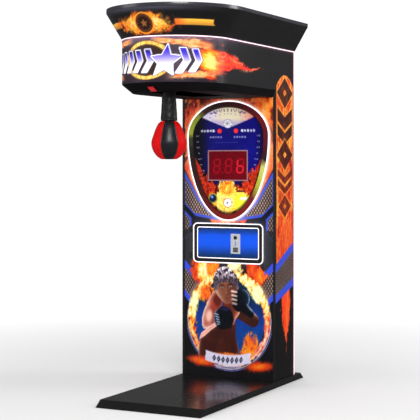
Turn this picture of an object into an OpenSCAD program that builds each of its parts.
// Boxing punch machine: floor deck, rear column with score display and coin door,
// overhanging head with a flared crown, and a punch ball that swings from a shaft in the head.
// Frame: X to the right, Y to the back, Z up, origin on the floor at the centre of the deck.

/* [Deck] */
// Width of the floor deck
base_w = 644; // [640:1:680]
// Length of the floor deck
base_l = 1410; // [1400:5:1500]
// Height of the deck surface
base_h = 38; // [38:1:38]

/* [Column] */
// Outer width of the column and head
col_w = 624; // [624:1:630]
// Y of the column's front face
col_front = 293; // [293:1:293]
// Y of the column's back face
col_back = 585; // [585:1:585]
// Thickness of the side, front and back boards
panel_t = 15; // [12:1:15]

/* [Head] */
// Height of the head's flat underside
under_z = 1726; // [1726:1:1726]
// Height of the marquee's lower edge
head_z0 = 1770; // [1770:1:1770]
// Height of the marquee's upper edge
head_z1 = 2020; // [2020:5:2040]
// Y of the centre of the marquee's curved front
head_cy = -350; // [-350:1:-350]
// Half width of the top of the crown
crown_r = 400; // [380:5:410]
// Height of the flared part of the crown
crown_h = 147; // [130:1:160]
// Height of the upright band on top of the crown
band_h = 16; // [12:1:20]

/* [Display] */
// Half width of the egg shaped light ring
egg_a = 281; // [275:1:283]
// Height of the ring's widest line
egg_z = 1500; // [1500:1:1500]
// Reach of the ring above its widest line
egg_up = 221; // [215:1:221]
// Reach of the ring below its widest line
egg_dn = 520; // [510:1:520]
// Height of a digit
digit_h = 92; // [80:1:95]

/* [Coin door] */
// Half width of the coin door
door_a = 235; // [235:1:236]
// Height of the coin door's lower edge
door_z0 = 729; // [729:1:729]
// Height of the coin door's upper edge
door_z1 = 972; // [972:1:972]

/* [Ball] */
// Y of the arm pivot and of the hanging ball
ball_y = -455; // [-455:1:-455]
// Height of the arm pivot
pivot_z = 1800; // [1800:1:1800]
// Height of the ball's widest line
ball_z = 1450; // [1440:1:1450]
// Largest radius of the ball
ball_r = 100; // [95:1:100]
// Radius of the pivot shaft
shaft_r = 10; // [10:1:10]

/* [Hidden] */
$fn = 96;
half_w = col_w / 2;
inner_w = half_w - panel_t;  // half width between the side boards
beam_z = pivot_z + 30;       // underside of the head beams
beam_top = beam_z + 40;

// ---- helpers ----
// box between two opposite corners, in either order
module box(a, b) translate([for (i = [0 : 2]) min(a[i], b[i])])
    cube([for (i = [0 : 2]) abs(b[i] - a[i])]);
// box from y0 to y1, centred on x and z
module block(x, z, half_x, half_z, y0, y1)
    box([x - half_x, y0, z - half_z], [x + half_x, y1, z + half_z]);
// cylinders along X, Y and Z
module rod_x(x0, x1, y, z, r) translate([x0, y, z]) rotate([0, 90, 0]) cylinder(h = x1 - x0, r = r);
module rod_y(y0, y1, x, z, r) translate([x, y1, z]) rotate([90, 0, 0]) cylinder(h = y1 - y0, r = r);
module rod_z(z0, z1, x, y, r) translate([x, y, z0]) cylinder(h = z1 - z0, r = r);
// YZ profile extruded along X
module plate_x(x0, thick)
    translate([x0, 0, 0]) rotate([90, 0, 90]) linear_extrude(thick) children();
// XZ profile extruded from y0 to y1
module plate_y(y0, y1)
    translate([0, y1, 0]) rotate([90, 0, 0]) linear_extrude(y1 - y0) children();
module rounded_rect(x0, z0, x1, z1, r) {
    translate([x0 + r, z0]) square([x1 - x0 - 2 * r, z1 - z0]);
    translate([x0, z0 + r]) square([x1 - x0, z1 - z0 - 2 * r]);
    for (x = [x0 + r, x1 - r], z = [z0 + r, z1 - r]) translate([x, z]) circle(r = r, $fn = 48);
}

// ---- deck ----
ramp_l = 50;    // length of the slope at each end
skin_t = 3;     // thickness of the deck skin
pad_h = 4;
rail_half = 15; // half width of a frame rail
rail_t = 3;     // wall of a frame rail
rail_x = [-290, 290];
rail_y = [-625, -315, 0, 360, 510, 625];
bolt_x = [-250, 250];
bolt_y = [360, 510];
frame_x = rail_x[1] + rail_half;
frame_y = rail_y[5] + rail_half;

module bolt_holes() for (x = bolt_x, y = bolt_y) rod_z(20, 60, x, y, 6.5);
// YZ trapezoid, given as half length and height of its foot and its top
module deck_profile(foot, foot_z, top, top_z)
    polygon([[-foot, foot_z], [-top, top_z], [top, top_z], [foot, foot_z]]);
module base_deck() color("#17171a") difference() {
    plate_x(-base_w / 2, base_w)
        deck_profile(base_l / 2, 1.5, base_l / 2 - ramp_l, base_h);
    plate_x(-base_w / 2 + skin_t, base_w - 2 * skin_t)
        deck_profile(base_l / 2 - skin_t, 0, base_l / 2 - ramp_l - 1, base_h - skin_t);
    bolt_holes();
}
// grid of rails, grown inwards by inset
module rail_grid(inset, z0, z1) {
    half = rail_half - inset;
    for (x = rail_x) box([x - half, inset - frame_y, z0], [x + half, frame_y - inset, z1]);
    for (y = rail_y) box([inset - frame_x, y - half, z0], [frame_x - inset, y + half, z1]);
}
// channels that are open below
module base_frame() color("#3a3c40") difference() {
    rail_grid(0, pad_h, base_h - skin_t);
    rail_grid(rail_t, pad_h - 1, base_h - skin_t - rail_t);
    bolt_holes();
}
module base_pads() color("#202020") {
    for (x = rail_x, y = rail_y) box([x - 25, y - 20, 0], [x + 25, y + 20, pad_h]);
    box([-40, -20, 0], [40, 20, pad_h]);
}
module base_bolts() color("#9a9a9a") for (x = bolt_x, y = bolt_y) {
    rod_z(22, 56, x, y, 6, $fn = 32);
    rod_z(44.5, 52.5, x, y, 11, $fn = 6);
    rod_z(22, 31, x, y, 11, $fn = 6);
}

// ---- column ----
angle_w = 30;           // leg of an angle bar
angle_t = 3;            // thickness of an angle bar
post_x = inner_w - 0.5; // outer faces of the corner posts
post_y0 = 308.2;
post_y1 = 569.8;
post_top = 1990;
shelf_z = 420;          // top of the cash box shelf
loom_x = 165;
loom_y = 470;
supply_h = 55;

// upright angle bar with its corner at x, y; dir_x and dir_y point along its legs
module corner_post(x, y, dir_x, dir_y) {
    box([x, y, base_h], [x + dir_x * angle_w, y + dir_y * angle_t, post_top]);
    box([x, y, base_h], [x + dir_x * angle_t, y + dir_y * angle_w, post_top]);
}
module column_frame() color("#4a4d52") difference() {
    union() {
        for (side = [-1, 1]) {
            corner_post(side * post_x, post_y0, -side, 1);
            corner_post(side * post_x, post_y1, -side, -1);
            // side bars
            for (z = [base_h, shelf_z - angle_w, beam_top, post_top - angle_w])
                box([side * post_x, post_y0, z],
                    [side * (post_x - angle_t), post_y1, z + angle_w]);
            // foot plates
            for (y = [320, 470])
                box([side * 210, y, base_h], [side * post_x, y + 80, base_h + 6]);
        }
        // front and back bars
        for (z = [base_h, beam_top, post_top - angle_w], y = [post_y0, post_y1 - angle_t])
            box([-post_x, y, z], [post_x, y + angle_t, z + angle_w]);
        // level legs of the bars at beam height
        for (y = [post_y0, post_y1 - angle_w])
            box([-post_x, y, beam_top], [post_x, y + angle_w, beam_top + angle_t]);
        // shelf
        box([-post_x, post_y0, shelf_z - angle_t], [post_x, post_y1, shelf_z]);
    }
    bolt_holes();
    rod_z(400, 440, loom_x, loom_y, 9);
}
// L shaped board: the column and the side of the head
module side_board(x0) plate_x(x0, panel_t)
    polygon([[col_front, base_h], [col_back, base_h], [col_back, head_z1],
        [head_cy, head_z1], [head_cy, head_z0], [col_front, head_z0]]);
module side_panel_left() color("#1b1715") side_board(-half_w);
module side_panel_right() color("#c8561a") side_board(inner_w);
module edge_trims() color("#101010") for (side = [-1, 1])
    box([side * half_w, col_front - 2.5, base_h],
        [side * (inner_w + 0.5), col_front, under_z - 0.3]);
// board with openings behind the display and the coin door
module front_panel() color("#8a2a12") difference() {
    box([-inner_w + 0.2, col_front, base_h], [inner_w - 0.2, col_front + panel_t, 1790]);
    egg(60, col_front - 5, col_front + 40);
    box([-200, col_front - 5, 752], [200, col_front + 40, 950]);
}

// ---- back ----
hinge_x = -219;            // back door hinge axis
hinge_y = col_back + 4;
hinge_r = 3.5;
door_leaf_y = col_back + 3.2; // outer face of the back door
lock_x = 185;
lock_z = 850;
vent_z = 1650;
inlet_x = -50;
inlet_z = 135;
switch_x = -30;

// board with openings for the door, the vent and the power inlet
module back_panel() color("#151515") difference() {
    box([-inner_w + 0.2, col_back - panel_t, base_h], [inner_w - 0.2, col_back, head_z1 - 0.2]);
    box([-200, col_back - 30, 250], [200, col_back + 5, 1450]);
    block(0, vent_z, 105, 40, col_back - 30, col_back + 5);
    block(inlet_x, inlet_z, 36, 17, col_back - 30, col_back + 5);
}
module back_door() color("#1d1d1f") difference() {
    union() {
        box([-214.8, col_back + 0.2, 235], [215, door_leaf_y, 1465]);
        for (z = [450.5, 1200]) {
            rod_z(z, z + 49.5, hinge_x, hinge_y, hinge_r);
            box([hinge_x, door_leaf_y, z], [hinge_x + 18, door_leaf_y + 1.5, z + 49.5]);
        }
        box([-180, door_leaf_y, 1380], [180, door_leaf_y + 2, 1384]);
    }
    for (z = [450.5, 1200]) rod_z(z - 1, z + 51, hinge_x, hinge_y, 1.8);
    rod_y(580, 595, lock_x, lock_z, 8.1);
    for (i = [0 : 7]) box([-120, 580, 330 + i * 14], [120, 592, 335 + i * 14]);
}
// fixed knuckles with their pins, as [knuckle z, pin z]
module back_door_hinges() color("#777777") for (hinge = [[400, 400], [1250, 1200]])
    difference() {
        z = hinge[0];
        union() {
            rod_z(z, z + 50, hinge_x, hinge_y, hinge_r);
            box([hinge_x - 22, col_back, z], [hinge_x, col_back + 1.5, z + 50]);
            rod_z(hinge[1], hinge[1] + 100, hinge_x, hinge_y, 1.75);
        }
        for (hole = [10, 40]) rod_y(584, 588, hinge_x - 14, z + hole, 2.2);
    }
module back_door_lock() color("#b0b0b0") {
    rod_y(564, 592, lock_x, lock_z, 8);
    rod_y(588.4, 590, lock_x, lock_z, 11);
    difference() {
        box([lock_x - 8, 562, lock_z], [lock_x + 8, 566, lock_z + 45]);
        box([lock_x - 4, 561, lock_z + 30], [lock_x + 4, 567, lock_z + 38]);
    }
    block(lock_x, lock_z, 1, 5, 592, 593);
}
module vent_grille() color("#2a2a2c") difference() {
    block(0, vent_z, 125, 55, col_back, col_back + 2);
    for (i = [0 : 6]) box([-95, col_back - 1, 1614 + i * 11], [95, col_back + 3, 1619 + i * 11]);
}
module power_inlet() color("#111111") difference() {
    union() {
        block(inlet_x, inlet_z, 42, 23, col_back, col_back + 3);
        block(inlet_x, inlet_z, 35, 16, col_back - 40, col_back);
    }
    block(-67, inlet_z, 13, 11, col_back - 20, col_back + 5);
    block(switch_x, inlet_z, 10, 14, col_back - 14, col_back + 5);
    rod_x(switch_x - 14, switch_x + 14, col_back, inlet_z, 1.55);
}
module power_switch() color("#aa1111") {
    block(switch_x, inlet_z, 8.5, 10.5, col_back - 5, col_back + 5);
    rod_x(switch_x - 13, switch_x + 13, col_back, inlet_z, 1.5);
}

// ---- inside the column ----
board_x = -286; // inner face of the control board

module power_supply() color("#8d9196") difference() {
    box([40, 400, base_h], [200, 500, base_h + supply_h]);
    for (i = [0 : 8]) box([55 + i * 15, 399, base_h + 15], [62 + i * 15, 404, base_h + 45]);
}
module control_board() color("#1c6b3a") {
    box([board_x - 2, 370, 1080], [board_x, 530, 1300]);
    for (y = [378, 522], z = [1088, 1292]) rod_x(-inner_w, board_x - 2, y, z, 4);
    box([board_x, 400, 1180], [board_x + 10, 440, 1220]);
    box([board_x, 470, 1110], [board_x + 18, 500, 1160]);
    for (i = [0 : 4]) box([board_x, 385 + i * 26, 1262], [board_x + 14, 403 + i * 26, 1278]);
}
module speakers() color("#222222") for (x = [-222, 222])
    translate([x, 308, 1130]) rotate([-90, 0, 0]) {
        cylinder(h = 4, r = 42);
        cylinder(h = 26, r1 = 38, r2 = 20);
        translate([0, 0, 24]) cylinder(h = 16, r = 24);
    }
// riser with one branch to the head and one to the display board
module wiring_loom() color("#5a1f1f") {
    top_z = 1920;
    rod_z(base_h + supply_h, top_z, loom_x, loom_y, 5, $fn = 24);
    translate([loom_x, loom_y, top_z]) sphere(r = 5, $fn = 24);
    rod_y(-250, loom_y, loom_x, top_z, 5);
    rod_y(303.2, loom_y, loom_x, 1320, 4);
}

// ---- head ----
crown_z = head_z1 + crown_h;            // top of the flare
slope = (crown_r - half_w) / crown_h;   // outward run of the flare per unit of height
crown_t = 3.5;
pan_r = 290;                            // front radius of the flat underside
pan_cy = -280;                          // centre of that radius

// plan of the head: a round front and straight sides
module outline(r, back = col_back, centre_y = head_cy) {
    translate([0, centre_y]) circle(r = r);
    translate([-r, centre_y]) square([2 * r, back - centre_y]);
}
// flared volume on that plan
module flare(r0, r1, z0, z1, back) {
    intersection() {
        translate([0, head_cy, z0]) cylinder(h = z1 - z0, r1 = r0, r2 = r1, $fn = 180);
        box([-r1 - 5, head_cy - r1 - 5, z0 - 5], [r1 + 5, head_cy, z1 + 5]);
    }
    translate([0, back, z0]) rotate([90, 0, 0]) linear_extrude(back - head_cy)
        polygon([[-r0, 0], [r0, 0], [r1, z1 - z0], [-r1, z1 - z0]]);
}
module head_beams() color("#4a4d52") {
    for (x = [-150, 120]) difference() {
        box([x, -560, beam_z], [x + 30, 560, beam_top]);
        box([x + 3, -561, beam_z + 3], [x + 27, 561, beam_top - 3]);
    }
    // cross bars on top, as [half width, front y, back y]
    for (bar = [[240, -535, -505], [150, -417, -397], [inner_w, -340, -300], [inner_w, 80, 110]])
        box([-bar[0], bar[1], beam_top], [bar[0], bar[2], beam_top + 20]);
}
// round front, open to the back
module marquee_shell() color("#1a1416") difference() {
    rod_z(head_z0, head_z1, 0, head_cy, half_w, $fn = 180);
    rod_z(head_z0 - 1, head_z1 + 1, 0, head_cy, half_w - 3, $fn = 180);
    box([-half_w - 5, head_cy, head_z0 - 5], [half_w + 5, head_cy + half_w + 5, head_z1 + 5]);
}
module pan_slice(z, r, centre_y, back)
    translate([0, 0, z]) linear_extrude(0.1) outline(r, back, centre_y, $fn = 128);
// bevelled tray with openings for the arm and the start button
module underside_pan() color("#0c0c0e") difference() {
    hull() {
        pan_slice(under_z, pan_r, pan_cy, col_front - 0.2);
        pan_slice(head_z0 - 0.3, half_w - 0.2, head_cy, col_front - 0.2);
    }
    hull() {
        pan_slice(under_z + 3, pan_r - 4, pan_cy, col_front + 3);
        pan_slice(head_z0 + 1, half_w - 5, head_cy, col_front + 3);
    }
    box([-114, -520, under_z - 5], [114, 25, under_z + 10]);
    at_button() box([-17.5, -23.5, -20], [17.5, 23.5, 20]);
}
module crown_shell() color("#141416") difference() {
    flare(half_w, crown_r, head_z1, crown_z, col_back);
    flare(half_w - crown_t - slope, crown_r - crown_t + slope, head_z1 - 1, crown_z + 1,
        col_back - 3);
}
module crown_lid() color("#26262a") {
    translate([0, 0, crown_z]) linear_extrude(4) outline(crown_r);
    translate([0, 0, crown_z + 4]) linear_extrude(band_h) difference() {
        outline(crown_r);
        outline(crown_r - 4, col_back - 4);
    }
}
// strip round the head's upper edge and down both sides near the back
module edge_led() color("#ffe6f2") {
    gap = 0.2;
    translate([0, 0, head_z1 - 6]) linear_extrude(5.7) difference() {
        outline(half_w + gap + 5, col_back - 8);
        outline(half_w + gap, col_back + 20);
    }
    for (side = [-1, 1])
        box([side * (half_w + gap), col_back - 16, base_h + 2],
            [side * (half_w + gap + 3), col_back - 8, head_z1 - 5.5]);
}

// ---- score display ----
bezel_y = col_front - 8; // front of the bezel
panel_y = col_front - 5; // front of the score panel
window_x = 130;          // half width of the display window
window_z0 = 1232;
window_z1 = 1410;
digit_z = 1318;          // centre of the digits
board_y = col_front + 4; // front of the display board

// egg outline, moved inwards by inset
function egg_points(inset, n = 144) = [for (i = [0 : n - 1]) let (t = 360 * i / n)
    [(egg_a - inset) * cos(t), egg_z + (t < 180 ? egg_up - inset : egg_dn - inset) * sin(t)]];
module egg(inset, y0, y1) plate_y(y0, y1) polygon(egg_points(inset));

module score_ring_led() color("#ffffff") difference() {
    egg(5.5, bezel_y - 0.5, col_front);
    egg(14, bezel_y - 5, col_front + 1);
}
module score_bezel() color("#3a0d10") difference() {
    egg(14.3, bezel_y, col_front);
    egg(44, bezel_y - 1, col_front + 1);
}
module score_panel() color("#0a0a6e") difference() {
    egg(44.3, panel_y, col_front);
    box([-window_x - 0.3, panel_y - 1, window_z0 - 0.3],
        [window_x + 0.3, col_front + 1, window_z1 + 0.3]);
}
module display_frame() color("#d8a8b0") plate_y(panel_y - 2, panel_y) difference() {
    rounded_rect(-window_x - 4, window_z0 - 4, window_x + 4, window_z1 + 4, 2);
    translate([3 - window_x, window_z0 + 3])
        square([2 * window_x - 6, window_z1 - window_z0 - 6]);
}
module display_window() color([0.55, 0.02, 0.05, 0.6])
    box([-window_x, panel_y + 0.2, window_z0], [window_x, panel_y + 3, window_z1]);
// pointed bars that start at x, z: one level, one upright
module level_bar(x, z, len, thick) {
    half = thick / 2;
    translate([x, z]) polygon([[0, 0], [half, half], [len - half, half], [len, 0],
        [len - half, -half], [half, -half]]);
}
module upright_bar(x, z, len, thick) {
    half = thick / 2;
    translate([x, z]) polygon([[0, 0], [half, half], [half, len - half], [0, len],
        [-half, len - half], [-half, half]]);
}
// all seven segments of a digit centred on x
module digit(x) {
    width = digit_h * 0.56;
    thick = digit_h * 0.13;
    gap = 0.8;
    pitch = digit_h / 2 - thick / 2;
    low_z = digit_z - digit_h / 2 + thick / 2;
    left = x - width / 2 + thick / 2;
    for (i = [0 : 2]) level_bar(left + gap, low_z + i * pitch, width - thick - 2 * gap, thick);
    for (bar_x = [left, x + width / 2 - thick / 2], i = [0, 1])
        upright_bar(bar_x, low_z + i * pitch + gap, pitch - 2 * gap, thick);
}
module digit_segments() color("#ff2030") plate_y(board_y - 2, board_y) for (x = [-76, 2, 80]) {
    digit(x);
    translate([x + 35, digit_z - digit_h / 2 + 5]) circle(r = 4, $fn = 24);
}
module display_board() color("#0d2b16") {
    box([-150, board_y, 1212], [150, board_y + 2, 1430]);
    for (x = [-142, 142], z = [1220, 1422]) rod_y(col_front, board_y, x, z, 4);
    box([-150, board_y + 2, 1312], [175, board_y + 6, 1328]);
}
// domes on the score panel
module indicator_leds() color("#ff1515") for (x = [-55, 55]) intersection() {
    rod_y(panel_y - 8, panel_y, x, 1530, 14);
    translate([x, panel_y + 13, 1530]) sphere(r = 20);
}
// stepped discs with a shallow front hole; steps are [front, back, radius], from panel_y
module gauge_hubs() color("#f2f2f2") for (z = [1574, 1095]) difference() {
    union() for (step = [[-3, 0, 17], [-5, -3, 12], [-7, -5, 4]])
        rod_y(panel_y + step[0], panel_y + step[1], 0, z, step[2]);
    rod_y(panel_y - 8, panel_y - 6, 0, z, 2);
}

// ---- coin door ----
tray_y = 290.5;        // front of the tray's floor
tray_back = 292.8;
light_y = tray_y - 5;  // front of the light panel
plate_front = light_y - 3;
door_hinge_x = -240;
door_hinge_y = 288.5;
knuckle_r = 4;
coin_x = 53.5;         // centre line of the coin fittings
reject_z = 886;
flap_y = 284;          // flap axis
flap_z = 824;

module door_outline(inset, r)
    rounded_rect(-door_a + inset, door_z0 + inset, door_a - inset, door_z1 - inset, r);
// outline of the light panel, moved outwards by grow
module light_outline(grow, r) rounded_rect(-202 - grow, 762 - grow, 202 + grow, 943 + grow, r);
// reject button hole, coin slot and return opening from y0 to their own back ends
module coin_openings(y0, reject_back = 295, slot_back = 295, return_back = 295) {
    rod_y(y0, reject_back, coin_x, reject_z, 10.1);
    box([coin_x - 2.4, y0, 834], [coin_x + 2.4, slot_back, 867]);
    box([coin_x - 18, y0, 797], [coin_x + 18, return_back, 828]);
}
module door_tray() color("#0e0e10") difference() {
    union() {
        plate_y(tray_y, tray_back) door_outline(0, 30);
        plate_y(286, tray_y) difference() {
            door_outline(9.3, 21);
            light_outline(5.2, 14);
        }
        rod_z(790, 910, door_hinge_x, door_hinge_y, knuckle_r);
        box([door_hinge_x, tray_y, 790], [-200, tray_y + 2, 910]);
    }
    rod_z(789, 911, door_hinge_x, door_hinge_y, 2.05);
    coin_openings(285);
}
module door_led_outer() color("#ffffff") plate_y(283, tray_y) difference() {
    door_outline(0, 30);
    door_outline(6, 24);
}
module door_led_inner() color("#ffffff") plate_y(284, tray_y) difference() {
    light_outline(5, 14);
    light_outline(0.3, 9);
}
module door_light_panel() color("#0a66ff") difference() {
    plate_y(light_y, tray_y) light_outline(0, 9);
    coin_openings(284);
}
module coin_plate() color("#c9cbcf") difference() {
    union() {
        plate_y(plate_front, light_y) rounded_rect(22, 789, 85, 909, 4);
        plate_y(plate_front - 2, plate_front)
            rounded_rect(coin_x - 8, 830, coin_x + 8, 871, 3);
        for (z = [795, 903], x = [28, 79]) rod_y(plate_front - 1, plate_front, x, z, 3);
    }
    rod_y(279, 287, coin_x, reject_z, 10.1);
    box([coin_x - 2.4, 279, 835], [coin_x + 2.4, 287, 866]);
    box([coin_x - 17, 279, 798], [coin_x + 17, 287, 826.5]);
    rod_x(coin_x - 20, coin_x + 20, flap_y, flap_z, 0.85);
}
module coin_mech() color("#33363b") difference() {
    box([24, tray_back, 785], [83, 375, 915]);
    coin_openings(290, 318, 350, 330);
}
module reject_button() color("#1a1a1a") difference() {
    rod_y(277, 312, coin_x, reject_z, 10);
    rod_y(276, 278, coin_x, reject_z, 7);
}
module return_flap() color("#aeb2b8") {
    box([coin_x - 16.5, flap_y - 0.75, 799], [coin_x + 16.5, flap_y + 0.75, flap_z]);
    rod_x(coin_x - 19.5, coin_x + 19.5, flap_y, flap_z, 0.8);
}
module coin_door_hinge() color("#141414") difference() {
    union() for (z = [750, 910.5]) {
        rod_z(z, z + 39.5, door_hinge_x, door_hinge_y, knuckle_r);
        box([door_hinge_x - 24, 291, z], [door_hinge_x, 293, z + 39.5]);
    }
    rod_z(740, 960, door_hinge_x, door_hinge_y, 2.01);
    for (z = [758, 781, 919, 942]) rod_y(290, 294, door_hinge_x - 15, z, 2.2);
}
module coin_door_pin() color("#bcbcbc") {
    rod_z(750, 950, door_hinge_x, door_hinge_y, 2);
    rod_z(950.1, 952.1, door_hinge_x, door_hinge_y, 3.4);
    rod_z(949, 951, door_hinge_x, door_hinge_y, 2); // joins the pin to its head
}
// open box with a rim, on the shelf
module cash_box() color("#6b6f75") difference() {
    union() {
        box([-120, 345, shelf_z], [120, 530, shelf_z + 140]);
        box([-124, 341, shelf_z + 136], [124, 534, shelf_z + 140]);
    }
    box([-118, 347, shelf_z + 2], [118, 528, shelf_z + 141]);
}

// ---- start button ----
// frame of the button on the pan's front bevel, Z into the head
module at_button() translate([-22, -602, 1741]) rotate([-25.6, 0, 0]) children();
module start_button() color("#ff2418") at_button() {
    box([-16, -22, -9], [16, 22, 1]);
    box([-14, -20, 1], [14, 20, 4]);
}
module start_bezel() color("#101012") at_button() difference() {
    box([-20, -26, -4], [20, 26, -0.6]);
    box([-16.5, -22.5, -5], [16.5, 22.5, 1]);
}
module start_switch() color("#2b2b2b") at_button() {
    box([-14, -19, 8], [14, 19, 30]);
    for (x = [-10, 8]) box([x, -2, 30], [x + 2, 2, 38]);
}

// ---- punch mechanism ----
arm_r = 14;
arm_z0 = 1430;        // lower end of the arm
latch_y = ball_y - 60; // latch axis
latch_z = pivot_z + 22;
disc_x = 160;         // left face of the sensor disc

// hole or rod along the pivot axis
module on_pivot(x0, x1, r) rod_x(x0, x1, ball_y, pivot_z, r);
module pivot_shaft() color("#c0c4c8") on_pivot(-176, 176, shaft_r);
module pivot_bearings() color("#50545a") for (x = [-150, 122]) difference() {
    box([x, ball_y - 30, pivot_z - 25], [x + 28, ball_y + 30, beam_z]);
    on_pivot(x - 1, x + 29, shaft_r + 0.05);
}
// hub, arm, upper tab and the collar above the sleeve
module arm_lever() color("#70757c") difference() {
    union() {
        on_pivot(-30, 30, 24);
        rod_z(arm_z0, 1790, 0, ball_y, arm_r);
        box([-12, ball_y - 8, pivot_z + 5], [22, ball_y + 8, pivot_z + 75]);
        rod_z(1748.5, 1754.5, 0, ball_y, 30);
    }
    on_pivot(-31, 31, shaft_r + 0.01);
}
module arm_sleeve() color("#1b1b1d") difference() {
    translate([0, ball_y, 1566.3]) cylinder(h = 182, r1 = 47, r2 = 36);
    rod_z(1560, 1760, 0, ball_y, arm_r + 0.1);
}
// radius of the ball at height z, inset from its surface: a lower and an upper
// half ellipse, the upper one drawn in by up to 8 percent
function ball_radius(z, inset) =
    let (reach = (z < ball_z ? 105 : 131.4) - inset,
        rise = max(0, z - ball_z) / 116)
    (ball_r - inset) * sqrt(max(0, 1 - pow((z - ball_z) / reach, 2)))
        * (1 - 0.08 * sin(180 * rise));
module ball_solid(inset, z0, z1, n = 30) translate([0, ball_y, 0]) rotate_extrude($fn = 96)
    polygon(concat([[0, z0]],
        [for (i = [0 : n]) let (z = z0 + (z1 - z0) * i / n) [ball_radius(z, inset), z]],
        [[0, z1]]));
module ball_core() color("#c9b58a") difference() {
    ball_solid(8.3, 1364, 1552);
    rod_z(arm_z0 - 0.1, 1629.9, 0, ball_y, arm_r + 0.1);
}
module punch_ball() color("#a80f14") difference() {
    ball_solid(0, 1355, 1566);
    ball_solid(8, 1363.5, 1552.5);
    rod_z(1500, 1600, 0, ball_y, arm_r + 2);
}
module sensor_disc() color("#303236") difference() {
    on_pivot(disc_x, disc_x + 3, 45);
    on_pivot(disc_x - 1, disc_x + 4, shaft_r + 0.01);
    for (a = [0 : 15 : 345]) translate([0, ball_y, pivot_z]) rotate([a, 0, 0])
        box([disc_x - 1, 34, -1.5], [disc_x + 4, 41, 1.5]);
}
// strap with a fork round the disc's edge
module sensor_bracket() color("#1a1a1a") difference() {
    union() {
        box([150, -422, 1790], [152, -400, 1865]);
        box([150, -422, 1790], [172, -400, 1812]);
    }
    box([disc_x - 2, -423, 1789], [disc_x + 5, -405, 1813]);
}
module stop_bumpers() color("#18181a") {
    box([-15, -437, 1862], [15, -417, 1890]);
    box([-20, -335, 1838], [20, -305, beam_top]);
}
module latch_solenoid() color("#8f6b2e") difference() {
    box([55, latch_y - 15, latch_z - 16], [108, latch_y + 15, beam_top]);
    rod_x(54, 109, latch_y, latch_z, 5.1);
}
// steps along X, as [start, end, radius]
module latch_plunger() color("#d0d0d0") for (step = [[30, 100, 5], [99, 127, 3], [126, 129, 8]])
    rod_x(step[0], step[1], latch_y, latch_z, step[2]);

base_deck();
base_frame();
base_pads();
base_bolts();
column_frame();
side_panel_left();
side_panel_right();
edge_trims();
front_panel();
back_panel();
back_door();
back_door_hinges();
back_door_lock();
vent_grille();
power_inlet();
power_switch();
power_supply();
control_board();
speakers();
wiring_loom();
head_beams();
marquee_shell();
underside_pan();
crown_shell();
crown_lid();
edge_led();
score_ring_led();
score_bezel();
score_panel();
display_frame();
display_window();
digit_segments();
display_board();
indicator_leds();
gauge_hubs();
door_tray();
door_led_outer();
door_led_inner();
door_light_panel();
coin_plate();
coin_mech();
reject_button();
return_flap();
coin_door_hinge();
coin_door_pin();
cash_box();
start_button();
start_bezel();
start_switch();
pivot_shaft();
pivot_bearings();
arm_lever();
arm_sleeve();
ball_core();
punch_ball();
sensor_disc();
sensor_bracket();
stop_bumpers();
latch_solenoid();
latch_plunger();
